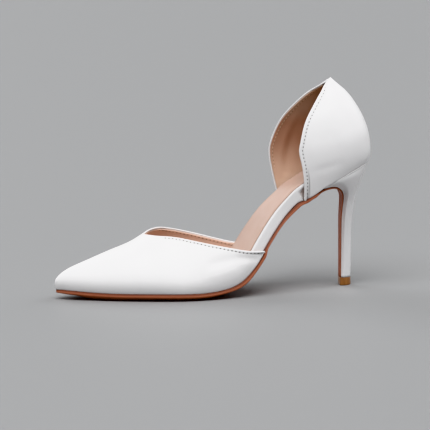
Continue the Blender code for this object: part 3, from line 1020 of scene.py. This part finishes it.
def make_leather(name, shape, creases, finishes):
    """An upper's leather: turned in at its foot, creased, and stitched along its folded edge."""
    points, faces, edge, foot = shape
    # Painted shade darkens the leather towards its foot.
    painted_foot_shade = FOOT_SHADE * near_foot(points, foot, name)
    points = turn_in(points, foot, name)
    # Painted shade darkens the creases.
    points, painted_crease_shade = press_creases(points, faces, creases)
    deeper = end_trough(points, foot, name)
    # Painted shade darkens the stitch trough.
    points, line = press_stitch_trough(points, faces, edge, deeper, STITCH_INSET[name])
    sheet = rounded_sheet(points, faces, LEATHER, np.maximum(line, painted_foot_shade + painted_crease_shade))
    slot = name + "_leather"
    ridden(sheet, slot, finishes["white"], slot, name)
    sewn = [i for i in edge if is_sewn(points[i])]
    add_stitches(name, points, faces, two_sides(points, sewn), foot, finishes, slot)


def lining_face(name, shape):
    """An upper's lining, turned in as its leather is and set inside it."""
    points, faces, _, foot = shape
    points = turn_in(points, foot, name)
    return points - vertex_normals(points, faces) * LINING_DEPTH, faces


def make_vamp(finishes):
    make_leather("vamp", vamp_grid(FOLD_DROP, 0.0), VAMP_CREASES, finishes)
    lining, faces = lining_face("vamp", vamp_grid(FOLD_DROP + LINING_SETBACK, LINING_SETBACK))
    lining[:, 0] = np.maximum(lining[:, 0], LINING_TOE)
    sheet = rounded_sheet(lining, faces, LINING, 0.0)
    ridden(sheet, "vamp_lining", finishes["toe_lining"], "sock_leather")


def lining_shade(points):
    """The counter lining's painted shade: darker higher up, where the walls shade it, and paler again near
    the peak, where light reaches it.
    """
    darker = ease((points[:, 2] - LINING_PALE_HEIGHT) / LINING_SHADE_RISE)
    paler = ease((points[:, 2] - LINING_TOP_HEIGHT) / LINING_TOP_RISE)
    return (LINING_SHADE * darker * (1.0 - paler)).tolist()


def make_counter(finishes):
    make_leather("counter", counter_grid(0.0, 0.0, 1.0), COUNTER_CREASES, finishes)
    lining, faces = lining_face("counter", counter_grid(LINING_SETBACK, *LINING_LEVELS))
    lining, _ = press_creases(lining, faces, LINING_CREASES)
    sheet = rounded_sheet(lining, faces, LINING, 0.0)
    sheet.shade_and_tint = lining_shade(np.array(sheet.points))
    ridden(sheet, "counter_lining", finishes["lining"], "sock_leather")


def rib_keys(front, back):
    """Stations of the bottom's ribs, closer together at the toe."""
    toe = front + TOE_RIB_STEP * np.arange(TOE_RIBS) ** 2
    count = int((back - toe[-1]) / RIB_SPACING)
    return np.concatenate([toe, np.linspace(toe[-1], back, count + 1)[1:]])


# Shares across a rib, closer together near its edges.
RIB_SHARES = 0.5 - 0.5 * np.cos(np.pi * steps(RIB_STEPS))[1:-1]


def edge_ring(point_of, edge):
    """One closed section: the lateral edge down, across below, the medial edge up and across above."""
    ring = [point_of(0.0, into, down) for into, down in edge]
    ring += [point_of(share, edge[-1][0], edge[-1][1]) for share in RIB_SHARES]
    ring += [point_of(1.0, into, down) for into, down in reversed(edge)]
    ring += [point_of(share, edge[0][0], edge[0][1]) for share in RIB_SHARES[::-1]]
    return ring


def loft(rings, shades_and_tints):
    """A closed body through a row of sections of equal count, each with its points' tint and painted shade
    values.
    """
    surface = Surface()
    loops = [surface.add_row(ring, shade_and_tint) for ring, shade_and_tint in zip(rings, shades_and_tints)]
    for before, after in zip(loops, loops[1:]):
        surface.bridge_loop(after, before)
    surface.faces.append(loops[0])
    surface.faces.append(loops[-1][::-1])
    return surface


def under_vamp(behind):
    """1 well inside the vamp, 0 where the waist is open."""
    return ease((SOCK_REACH_END - behind) / SOCK_REACH_EASE)


def board_insets(key):
    """How far the board's sides lie inside the feather line: farther where an upper stands round it."""
    insets = []
    for side, behind in rib_sides(key):
        inside = max(ease((behind - COUNTER_FRONT[side]) / TUCK_LENGTH), under_vamp(behind))
        insets.append(BOARD_INSET + BOARD_TUCK * inside)
    return np.array(insets)


def sock_insets(key):
    """How far the sock's sides lie inside the feather line: it meets the linings in front and behind."""
    at_heel = ease((key - SPREAD_START) / SPREAD_LENGTH)
    hidden = np.array([under_vamp(behind) for _, behind in rib_sides(key)])
    return BOARD_INSET + SOCK_INSET - SOCK_SPREAD * at_heel - SOCK_REACH * hidden


def past_notch(point, down):
    """How far the board's side has turned in, from a slanted line up to the counter's front edge."""
    front = COUNTER_FRONT["lateral" if point[1] < 0.0 else "medial"]
    return ease((point[0] - front) / (NOTCH_FOOT + NOTCH_LEAN * (1.0 - down)) + 1.0)


def lower_part(down):
    """0 along the board's upper rim, 1 on the part of its side that turns in."""
    return ease((down - NOTCH_RIM) / NOTCH_RIM_EASE)


def board_ring(key):
    """A section of the board, and how far each of its points has turned in at the notch."""
    thickness = board_thickness(key)
    insets = board_insets(key)
    turned_in = []

    def point_of(share, into, down):
        drop = max(sole_drop(rib_sides(key), share, 0.0), 0.0)
        lift = PIECE_GAP + thickness * (1.0 - down) - drop * down
        turned_in.append(lower_part(down) * past_notch(rib_point(key, share, insets + into, lift), down))
        return rib_point(key, share, insets + into + NOTCH_DEPTH * turned_in[-1], lift)

    return edge_ring(point_of, BOARD_EDGE), turned_in


def make_board(finishes):
    rings, shades_and_tints = zip(*(board_ring(key) for key in rib_keys(*BOARD_SPAN)))
    ridden(loft(rings, shades_and_tints), "insole_board_wrap", finishes["board"], "board_wrap", "insole_board")


def make_sock(finishes):
    def ring(key):
        insets = sock_insets(key)
        base = PIECE_GAP + SOCK_SEAT + board_thickness(key)

        def point_of(share, into, down):
            return rib_point(key, share, insets + into, base + SOCK_THICK * (1.0 - down))

        return edge_ring(point_of, SOCK_EDGE)

    rings = [ring(key) for key in rib_keys(SOCK_FRONT, SOCK_BACK)]
    surface = loft(rings, [0.0] * len(rings))
    ridden(surface, "insole_sock", finishes["sock"], "sock_leather", "insole")


def seat_narrowing(key):
    """How much narrower to each side the heel's upper end is, to meet the tucked counter."""
    return SEAT_NARROWING * max(1.0 - key / NARROW_SHARE, 0.0) ** NARROW_POWER


def breast_point(key, share, depth, gap=0.0):
    """A point on the strip down the heel's front; depth 0 is its outer face and 1 its inner face."""
    behind, height, width, thickness = (float(curve(key)) for curve in breast_path)
    width -= seat_narrowing(key)
    thickness *= 1.0 - BREAST_THINNING * ease(key / THINNING_SHARE)
    reach = 0.01
    ahead = min(key + reach, 1.0)
    astern = max(key - reach, 0.0)
    along = np.array([float(curve(ahead) - curve(astern)) for curve in breast_path[:2]])
    inward = np.array([-along[1], along[0]]) / np.linalg.norm(along)
    place = np.array([behind, height]) + (depth * thickness + gap) * inward
    drop = sole_drop([(side, place[0]) for side in SIGN], share, 1.0 - depth)
    return place[0], (2.0 * share - 1.0) * width, place[1] - drop


def shank_ring(key):
    """A section of the outsole, crowned below and cut flat by the floor."""
    open_waist = np.array([waist(behind, side) for side, behind in rib_sides(key)])
    insets = SOLE_TUCK + (WAIST_STEP - SOLE_TUCK) * open_waist
    thickness = sole_edge(key)

    def point_of(share, into, down):
        lift = -thickness * down - sole_drop(rib_sides(key), share, down)
        behind, across, height = rib_point(key, share, insets + into, lift)
        if down == 1.0:
            bulge = 1.0 - abs(2.0 * share - 1.0) ** CROWN_POWER
            height = max(height - tread_crown(key) * bulge, 0.0)
        return behind, across, height

    return edge_ring(point_of, SOLE_EDGE)


def breast_ring(key):
    """A section of the strip that the outsole sends down the heel's front."""
    width = float(breast_path[2](key))
    thickness = float(breast_path[3](key))

    def point_of(share, into, down):
        into = into * min(thickness / FULL_EDGE, 1.0)
        return breast_point(key, share + (0.5 - share) * into / width, 1.0 - down)

    return edge_ring(point_of, SOLE_EDGE)


def make_outsole(finishes):
    down = np.array(edge_ring(lambda share, into, down: down, SOLE_EDGE))
    rings = [shank_ring(key) for key in rib_keys(SOLE_TIP, SOLE_SHANK_END)]
    shades_and_tints = [down] * len(rings)
    for key in steps(BREAST_STEPS):
        rings.append(breast_ring(key))
        shades_and_tints.append(down + (BREAST_TINT - down) * ease(key / BREAST_FADE))
    ridden(loft(rings, shades_and_tints), "outsole_leather", finishes["sole"], "sole_leather", "outsole")


def d_ring(front, front_height, width, back, back_height, fullness):
    """A closed D section: round the back from one front corner to the other, then across the front."""
    behind, across = side_bend(back, front, fullness, width, HEEL_BEND_STEPS)
    height = back_height + (front_height - back_height) * (back - behind) / (back - front)
    lateral = np.stack([behind, -across, height], axis=-1)[::-1]
    medial = np.stack([behind, across, height], axis=-1)[1:]
    spread = steps(HEEL_FRONT_STEPS)[1:-1][:, None]
    return np.concatenate([lateral, medial, medial[-1] + spread * (lateral[0] - medial[-1])])


def drawn_in(ring, amount, drop):
    """A section drawn in towards its middle and moved down."""
    middle = ring.mean(axis=0)
    flat = (ring - middle) * (1.0, 1.0, 0.0)
    reach = np.linalg.norm(flat, axis=1, keepdims=True)
    return ring - flat / reach * amount - (0.0, 0.0, drop)


def heel_ring(key):
    """A section of the heel; the first one lies under the counter's seat."""
    front_key = WEDGE_START + (1.0 - WEDGE_START) * key
    front, width, front_height = breast_point(front_key, 1.0, 1.0, gap=PIECE_GAP)
    back, back_height, fullness = (float(curve(key)) for curve in heel_sections)
    ring = d_ring(front, front_height, width, back, back_height, fullness - seat_narrowing(key))
    if key == 0.0:
        ring[:, 2] = profile(ring[:, 0]) - SEAT_DROP
    else:
        share = np.clip((ring[:, 0] - front) / (back - front), 0.0, 1.0)
        ring[:, 2] += SEAT_BOW * ease(1.0 - key / SEAT_BOW_SHARE) * np.sin(math.pi * share)
    return ring


# The rounded edges of the heel's upper end and of its tip.
HEEL_LIP = (
    # drawn in, down, painted shade of the seat line under the counter
    (0.9, 0.0, 1.0),
    (0.3, 0.03, 1.0),
    (0.12, 0.16, 0.5),
    (0.02, 0.45, 0.0),
)
TIP_EDGE = (
    # drawn in, down
    (0.2, 0.0),
    (0.03, 0.08),
    (0.0, 0.3),
    (0.0, 2.0),
    (0.0, TIP_HEIGHT - 1.6),
    (0.0, TIP_HEIGHT - 0.6),
    (0.12, TIP_HEIGHT - 0.2),
    (TIP_BEVEL, TIP_HEIGHT),
)


def make_heel(finishes):
    seat = heel_ring(0.0)
    rings = [drawn_in(seat, amount, drop) for amount, drop, _ in HEEL_LIP]
    # The first rings under the counter are painted in shade as a dark seat line.
    shades_and_tints = [shade_and_tint for _, _, shade_and_tint in HEEL_LIP]
    for key in steps(HEEL_STEPS)[HEEL_LIP_STEPS:]:
        rings.append(heel_ring(key))
        shades_and_tints.append(0.0)
    ridden(loft(rings, shades_and_tints), "heel_wrap", finishes["heel"], "heel_wrap", "heel")


def make_top_piece(finishes):
    front, _, width, _ = BREAST_PATH[-1]
    back, _, fullness = HEEL_SECTIONS[-1]
    whole = d_ring(front, TIP_HEIGHT, width, back, TIP_HEIGHT, fullness)
    rings = [drawn_in(whole, amount, down) for amount, down in TIP_EDGE]
    body = loft(rings, [0.0] * len(rings))
    ridden(body, "heel_tip", finishes["tip"], "heel_tip_plastic", "top_piece")


# The painted shade that the white leather's and the heel's darkened places turn to.
PAINTED_SHADE_GREY = (0.3, 0.29, 0.29)
LEATHERS = {
    # key: name, pale colour, deep colour, smoothest and roughest gloss, grain, colour of tinted places
    # (painted shade, but the nude colour of the board's notch)
    "white": ("white leather", (0.85, 0.842, 0.846), (0.815, 0.806, 0.81), (0.34, 0.46), 0.35, PAINTED_SHADE_GREY),
    # The heel's white leather, a greyer copy of the white: painted shade.
    "heel": ("heel wrap", (0.785, 0.777, 0.781), (0.75, 0.742, 0.746), (0.34, 0.46), 0.35, PAINTED_SHADE_GREY),
    # The board's white wrap, a greyer copy of the white: painted shade; its notch turns to its own nude
    # colour.
    "board": (
        "board wrap", (0.72, 0.712, 0.716), (0.68, 0.672, 0.676), (0.36, 0.5), 0.6, (0.82, 0.72, 0.68),
    ),
    # The counter's lining; its tinted places turn to painted shade.
    "lining": (
        "nude lining", (0.64, 0.44, 0.33), (0.56, 0.365, 0.26), (0.5, 0.66), 0.8, (0.38, 0.185, 0.118),
    ),
    # The vamp's lining, a lighter copy of the nude lining: painted light.
    "toe_lining": ("pale lining", (0.84, 0.61, 0.5), (0.78, 0.55, 0.44), (0.5, 0.66), 0.8),
    "sock": ("sock pink", (0.525, 0.368, 0.302), (0.48, 0.33, 0.268), (0.44, 0.6), 0.7),
    "thread": ("thread white", (0.78, 0.77, 0.76), (0.68, 0.67, 0.66), (0.6, 0.75), 0.5),
    # Dark beads painted as the shade in the needle holes.
    "hole": ("needle hole", (0.2, 0.19, 0.185), (0.15, 0.143, 0.138), (0.7, 0.85), 0.3),
    "lining_thread": ("thread nude", (0.72, 0.5, 0.37), (0.62, 0.42, 0.3), (0.6, 0.75), 0.5),
    # The same painted shade in the lining's needle holes.
    "lining_hole": ("lining hole", (0.42, 0.27, 0.19), (0.36, 0.225, 0.155), (0.7, 0.85), 0.3),
}
LEATHER_SPECULAR = 0.45

# The sole's colours down its cut edge, whose dark top band is partly edge colour and partly painted shade
# under the upper, and its streaks.
SOLE_BANDS = (
    # share of the way down, colour
    (0.0, (0.19, 0.077, 0.053)),
    (0.38, (0.26, 0.1, 0.066)),
    (0.5, (0.45, 0.172, 0.106)),
    (0.95, (0.4, 0.15, 0.094)),
)
SOLE_TAN = (0.34, 0.13, 0.087)
SOLE_STREAK = (0.26, 0.1, 0.066)
STREAK_STRENGTH = 0.4
SOLE_GLOSS = (0.42, 0.58)
SOLE_SPECULAR = 0.12

# The heel tip's plastic.
TIP_AMBER = (0.3, 0.13, 0.045)
TIP_DEEP = (0.24, 0.1, 0.035)
TIP_PALE = (0.36, 0.165, 0.06)
TIP_ROUGHNESS = 0.38
TIP_COAT = 0.15

# Noises: features to a metre, the finer layers over them, and how they stretch along the axes.
CLOUD = (30.0, 4.0)
SHEEN = (120.0, 3.0)
WRINKLES = (260.0, 3.0)
PEBBLES = 1500.0
SOLE_STREAKS = (300.0, 4.0, (0.25, 1.0, 2.0))
SOLE_SHEEN = (200.0, 3.0)
SOLE_FIBRE = (700.0, 3.0, (0.4, 1.0, 1.5))
TIP_GRAIN = (500.0, 3.0, (1.0, 1.0, 0.2))
TIP_SPECKS = (1500.0, 2.0)

# Bumps made from the noises: strength, and depth in millimetres.
WRINKLE_BUMP = (0.25, 0.4)
PEBBLE_BUMP = (0.5, 0.12)
FIBRE_BUMP = (0.3, 0.1)
SPECK_BUMP = (0.2, 0.05)

# The part of a noise's values that a spread or a ramp covers.
NOISE_LOW = 0.3
NOISE_HIGH = 0.7
CLOUD_HIGH = 0.62


def put(material, node, name, value):
    """Set a node's input to a value, or feed it from another node's output."""
    if isinstance(value, bpy.types.NodeSocket):
        material.node_tree.links.new(value, node.inputs[name])
    else:
        node.inputs[name].default_value = value


def add_node(material, kind, inputs, **settings):
    """A new shader node with its settings and its inputs."""
    node = material.node_tree.nodes.new(kind)
    for name, setting in settings.items():
        setattr(node, name, setting)
    for name, value in inputs.items():
        put(material, node, name, value)
    return node


def shader_of(name, colour, roughness):
    """A new material and its Principled shader with a plain colour and roughness."""
    material = bpy.data.materials.new(name)
    material.use_nodes = True
    shader = material.node_tree.nodes["Principled BSDF"]
    put(material, shader, "Base Color", (*colour, 1.0))
    put(material, shader, "Roughness", roughness)
    return material, shader


def place_on(material):
    return add_node(material, "ShaderNodeTexCoord", {}).outputs["Object"]


def shade_and_tint_of(material):
    return add_node(material, "ShaderNodeAttribute", {}, attribute_name="shade_and_tint").outputs["Fac"]


def noise_of(material, scale, detail, stretch=(1.0, 1.0, 1.0)):
    """A noise texture over the piece in metres, stretched along its axes."""
    mapping = add_node(material, "ShaderNodeMapping", {"Vector": place_on(material), "Scale": stretch})
    inputs = {"Vector": mapping.outputs["Vector"], "Scale": scale, "Detail": detail}
    return add_node(material, "ShaderNodeTexNoise", inputs).outputs["Fac"]


def cells_of(material, scale):
    """The pebbled cells of a leather's grain."""
    cells = add_node(material, "ShaderNodeTexVoronoi", {"Vector": place_on(material), "Scale": scale})
    return cells.outputs["Distance"]


def ramp_of(material, source, stops):
    """A colour ramp driven by a value."""
    ramp = add_node(material, "ShaderNodeValToRGB", {"Fac": source})
    elements = ramp.color_ramp.elements
    while len(elements) < len(stops):
        elements.new(0.5)
    for element, (place, colour) in zip(elements, stops):
        element.position = place
        element.color = (*colour, 1.0)
    return ramp.outputs["Color"]


def spread_of(material, noise, low, high):
    """A noise spread between two limits."""
    inputs = {"Value": noise, "From Min": NOISE_LOW, "From Max": NOISE_HIGH, "To Min": low, "To Max": high}
    return add_node(material, "ShaderNodeMapRange", inputs).outputs["Result"]


def mix_of(material, factor, colour, other):
    """A colour that turns to another one as a factor rises."""
    inputs = {"Factor": factor, "A": colour, "B": (*other, 1.0)}
    return add_node(material, "ShaderNodeMix", inputs, data_type="RGBA").outputs["Result"]


def bump_of(material, shader, layers, grain=1.0):
    """Bump layers over each other: each is a height source and its bump, scaled by the grain."""
    below = {}
    for height, (strength, depth) in layers:
        inputs = {"Height": height, "Strength": strength * grain, "Distance": depth * MM, **below}
        below = {"Normal": add_node(material, "ShaderNodeBump", inputs).outputs["Normal"]}
    put(material, shader, "Normal", below["Normal"])


def leather(name, pale, deep, gloss, grain, shade=None):
    """A leather with a faint cloud of colour, uneven gloss, a pebbled grain and perhaps places tinted or
    darkened as painted shade.
    """
    material, shader = shader_of(name, pale, sum(gloss) / 2.0)
    colour = ramp_of(material, noise_of(material, *CLOUD), ((NOISE_LOW, deep), (CLOUD_HIGH, pale)))
    if shade:
        colour = mix_of(material, shade_and_tint_of(material), colour, shade)
    put(material, shader, "Base Color", colour)
    put(material, shader, "Roughness", spread_of(material, noise_of(material, *SHEEN), *gloss))
    put(material, shader, "Specular IOR Level", LEATHER_SPECULAR)
    wrinkles = (noise_of(material, *WRINKLES), WRINKLE_BUMP)
    pebbles = (cells_of(material, PEBBLES), PEBBLE_BUMP)
    bump_of(material, shader, [wrinkles, pebbles], grain)
    return material


def sole_finish():
    """Tan sole leather: a darker band under the upper, partly edge colour and partly painted shade, and
    streaks along the cut edge.
    """
    material, shader = shader_of("sole tan", SOLE_TAN, sum(SOLE_GLOSS) / 2.0)
    edge = ramp_of(material, shade_and_tint_of(material), SOLE_BANDS)
    streaks = spread_of(material, noise_of(material, *SOLE_STREAKS), 0.0, STREAK_STRENGTH)
    put(material, shader, "Base Color", mix_of(material, streaks, edge, SOLE_STREAK))
    put(material, shader, "Roughness", spread_of(material, noise_of(material, *SOLE_SHEEN), *SOLE_GLOSS))
    put(material, shader, "Specular IOR Level", SOLE_SPECULAR)
    bump_of(material, shader, [(noise_of(material, *SOLE_FIBRE), FIBRE_BUMP)])
    return material


def tip_finish():
    """Amber heel-tip plastic with a faint upright grain."""
    material, shader = shader_of("tip amber", TIP_AMBER, TIP_ROUGHNESS)
    stops = ((NOISE_LOW, TIP_DEEP), (NOISE_HIGH, TIP_PALE))
    put(material, shader, "Base Color", ramp_of(material, noise_of(material, *TIP_GRAIN), stops))
    put(material, shader, "Coat Weight", TIP_COAT)
    bump_of(material, shader, [(noise_of(material, *TIP_SPECKS), SPECK_BUMP)])
    return material


def make_finishes():
    finishes = {key: leather(*look) for key, look in LEATHERS.items()}
    finishes["sole"] = sole_finish()
    finishes["tip"] = tip_finish()
    return finishes


# The photograph's frame, and where the toe's tip lies in it.
PHOTO_PIXELS = 430
SENSOR_MM = 36.0
MM_PER_PIXEL = 0.71
TOE_PIXEL = (53.9, 284.2)
TOE_TIP = (0.0, 0.0, 10.8)
CAMERA_DISTANCE = 2.8
CAMERA_AZIMUTH = -8.0
CAMERA_ELEVATION = 8.5
CAMERA_ROLL = math.radians(1.6)
FARTHEST_SEEN = 100.0


def way_to(azimuth, elevation):
    """The direction from the shoe to something at an azimuth and an elevation in degrees."""
    turn = math.radians(azimuth)
    lift = math.radians(elevation)
    return Vector((math.sin(turn) * math.cos(lift), -math.cos(turn) * math.cos(lift), math.sin(lift)))


def make_camera():
    """A long lens at the photograph's angle, aimed so that the toe's tip falls on its own pixel."""
    back = way_to(CAMERA_AZIMUTH, CAMERA_ELEVATION)
    right = way_to(CAMERA_AZIMUTH + 90.0, 0.0)
    up = back.cross(right)
    rolled_right = right * math.cos(CAMERA_ROLL) - up * math.sin(CAMERA_ROLL)
    rolled_up = up * math.cos(CAMERA_ROLL) + right * math.sin(CAMERA_ROLL)
    aside = (0.5 * PHOTO_PIXELS - TOE_PIXEL[0]) * MM_PER_PIXEL * MM
    above = (TOE_PIXEL[1] - 0.5 * PHOTO_PIXELS) * MM_PER_PIXEL * MM
    target = Vector(in_frame(TOE_TIP)) + rolled_right * aside + rolled_up * above
    lens = bpy.data.cameras.new("camera")
    lens.sensor_width = SENSOR_MM
    lens.lens = SENSOR_MM * CAMERA_DISTANCE / (PHOTO_PIXELS * MM_PER_PIXEL * MM)
    lens.clip_end = FARTHEST_SEEN
    camera = bpy.data.objects.new("camera", lens)
    turn = Matrix((rolled_right, rolled_up, back)).transposed().to_4x4()
    camera.matrix_world = Matrix.Translation(target + back * CAMERA_DISTANCE) @ turn
    bpy.context.scene.collection.objects.link(camera)
    bpy.context.scene.camera = camera


def add_light(name, azimuth, elevation, strength, softness):
    """A wide, soft, far light that comes from an azimuth and an elevation, as the camera does."""
    lamp = bpy.data.lights.new(name, "SUN")
    lamp.energy = strength
    lamp.angle = math.radians(softness)
    light = bpy.data.objects.new(name, lamp)
    back = way_to(azimuth, elevation)
    light.location = back * LIGHT_DISTANCE
    light.rotation_euler = back.to_track_quat("Z", "Y").to_euler()
    bpy.context.scene.collection.objects.link(light)


LIGHTS = (
    # name, azimuth, elevation, strength, softness
    ("key", -20.0, 66.0, 3.6, 55.0),
    ("rim left", -150.0, 30.0, 1.1, 40.0),
    ("side", 40.0, 52.0, 0.55, 50.0),
    ("rim right", 105.0, 36.0, 1.1, 45.0),
)
LIGHT_DISTANCE = 2.0
SURROUND = 0.14
SURROUND_COLOUR = (0.95, 0.97, 1.0)
FLOOR_COLOUR = (0.26, 0.262, 0.266)
FLOOR_ROUGHNESS = 0.6
FLOOR_HALF = 15.0


def make_studio():
    """A wide pale floor, a dim even surround and soft lights from above, the side and behind."""
    corners = [(x * FLOOR_HALF, y * FLOOR_HALF, 0.0) for x, y in ((-1, -1), (1, -1), (1, 1), (-1, 1))]
    mesh = bpy.data.meshes.new("floor")
    mesh.from_pydata(corners, [], [(0, 1, 2, 3)])
    material, _ = shader_of("floor", FLOOR_COLOUR, FLOOR_ROUGHNESS)
    mesh.materials.append(material)
    floor = bpy.data.objects.new("floor", mesh)
    bpy.context.scene.collection.objects.link(floor)
    world = bpy.data.worlds.new("studio")
    world.use_nodes = True
    surround = world.node_tree.nodes["Background"]
    surround.inputs["Color"].default_value = (*SURROUND_COLOUR, 1.0)
    surround.inputs["Strength"].default_value = SURROUND
    bpy.context.scene.world = world
    bpy.context.scene.view_settings.view_transform = "Khronos PBR Neutral"
    for light in LIGHTS:
        add_light(*light)


def main():
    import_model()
    finishes = make_finishes()
    make_vamp(finishes)
    make_counter(finishes)
    make_board(finishes)
    make_sock(finishes)
    make_outsole(finishes)
    make_heel(finishes)
    make_top_piece(finishes)
    make_camera()
    make_studio()


main()
